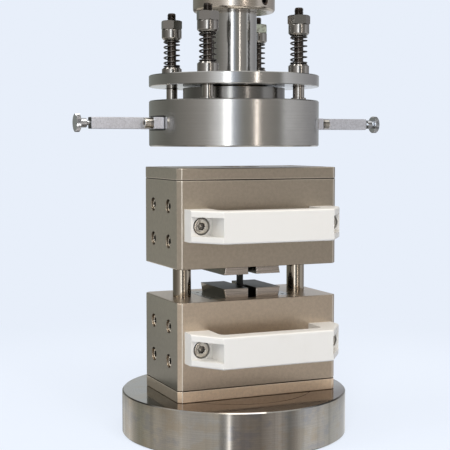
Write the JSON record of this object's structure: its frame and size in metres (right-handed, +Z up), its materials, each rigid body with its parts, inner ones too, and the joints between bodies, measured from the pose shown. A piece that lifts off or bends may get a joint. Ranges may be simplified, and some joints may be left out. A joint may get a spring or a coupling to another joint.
{
  "type": "shear loading compression fixture",
  "caption": "Compression test fixture: wedge grip box on guide posts with bridge handles, between a round base platen and a spring-held self-aligning upper platen.",
  "frame": {"origin": "centre of the lower platen's underside, on the machine axis", "axes": "+Z up along the machine axis, -Y towards the handles, +X to the right seen from the handles"},
  "size_m": [0.2904, 0.2, 0.433],
  "materials": {
    "turned_steel": "fine turned",
    "ground_steel": "ground",
    "housing_steel": "satin, warm",
    "post_steel": "hardened and polished",
    "black_steel": "blackened",
    "spring_steel": "oiled wire",
    "bright_steel": "plated",
    "bronze": "turned",
    "white_plastic": "satin",
    "arm_grey": "matt",
    "composite": "matt"
  },
  "bodies": {
    "base": {"lower_platen": "turned_steel", "lower_cover_plate": "housing_steel", "lower_cover_screws": "black_steel", "lower_housing": "housing_steel", "lower_seat_left": "ground_steel", "lower_seat_right": "ground_steel", "lower_seat_screws": "black_steel", "guide_post_left": "post_steel", "guide_post_right": "post_steel", "lower_handle": "white_plastic", "lower_handle_screws": "black_steel", "coupon": "composite", "coupon_tabs": "composite"},
    "lower_wedge_l": {"lower_wedge_left": "ground_steel"},
    "lower_wedge_r": {"lower_wedge_right": "ground_steel"},
    "upper_block": {"upper_housing": "housing_steel", "upper_cover_plate": "housing_steel", "upper_cover_screws": "black_steel", "upper_seat_left": "ground_steel", "upper_seat_right": "ground_steel", "upper_seat_screws": "black_steel", "guide_bush_left": "bronze", "guide_bush_right": "bronze", "upper_handle": "white_plastic", "upper_handle_screws": "black_steel"},
    "upper_wedge_l": {"upper_wedge_left": "ground_steel"},
    "upper_wedge_r": {"upper_wedge_right": "ground_steel"},
    "head": {"load_adapter": "turned_steel", "adapter_pin": "post_steel", "set_screw": "black_steel", "flanged_stem": "turned_steel", "spring_bush_1": "bright_steel", "spring_bush_2": "bright_steel", "spring_bush_3": "bright_steel", "spring_bush_4": "bright_steel", "spring_1": "spring_steel", "spring_2": "spring_steel", "spring_3": "spring_steel", "spring_4": "spring_steel"},
    "liner": {"seat_liner": "bronze"},
    "aligning_platen": {"upper_platen": "turned_steel", "stud_nuts": "bright_steel", "arm_left": "arm_grey", "arm_right": "arm_grey", "arm_screws_left": "black_steel", "arm_screws_right": "black_steel", "arm_washers": "bright_steel", "stud_1": "black_steel", "stud_2": "black_steel", "stud_3": "black_steel", "stud_4": "black_steel", "spring_collar_1": "bright_steel", "spring_collar_2": "bright_steel", "spring_collar_3": "bright_steel", "spring_collar_4": "bright_steel"},
    "thumb_l": {"thumb_screw_left": "bright_steel"},
    "thumb_r": {"thumb_screw_right": "bright_steel"}
  },
  "joints": [
    {"name": "crosshead_travel", "type": "slide", "parent": "base", "child": "head", "axis": [0, 0, 1], "range_m": [-0.0164, 0.05]},
    {"name": "post_slide", "type": "slide", "parent": "base", "child": "upper_block", "axis": [0, 0, 1], "range_m": [0, 0.017]},
    {"name": "lower_wedge_left_grip", "type": "slide", "parent": "base", "child": "lower_wedge_l", "axis": [-0.1736, 0, 0.9848], "range_m": [0, 0.005]},
    {"name": "lower_wedge_right_grip", "type": "slide", "parent": "base", "child": "lower_wedge_r", "axis": [0.1736, 0, 0.9848], "range_m": [0, 0.005]},
    {"name": "upper_wedge_left_grip", "type": "slide", "parent": "upper_block", "child": "upper_wedge_l", "axis": [-0.1736, 0, -0.9848], "range_m": [0, 0.005]},
    {"name": "upper_wedge_right_grip", "type": "slide", "parent": "upper_block", "child": "upper_wedge_r", "axis": [0.1736, 0, -0.9848], "range_m": [0, 0.005]},
    {"name": "tilt_front_back", "type": "hinge", "parent": "head", "child": "liner", "pos_m": [0, 0, 0.254], "axis": [1, 0, 0], "range_deg": [-0.75, 0.75], "stiffness_Nm_per_rad": 36},
    {"name": "tilt_left_right", "type": "hinge", "parent": "liner", "child": "aligning_platen", "pos_m": [0, 0, 0.254], "axis": [0, 1, 0], "range_deg": [-0.75, 0.75], "stiffness_Nm_per_rad": 36, "deforming": ["spring_1", "spring_2", "spring_3", "spring_4"]},
    {"name": "thumb_screw_left_turn", "type": "hinge", "parent": "aligning_platen", "child": "thumb_l", "pos_m": [-0.1324, 0, 0.274], "axis": [1, 0, 0], "continuous": true},
    {"name": "thumb_screw_right_turn", "type": "hinge", "parent": "aligning_platen", "child": "thumb_r", "pos_m": [0.1324, 0, 0.274], "axis": [1, 0, 0], "continuous": true}
  ]
}
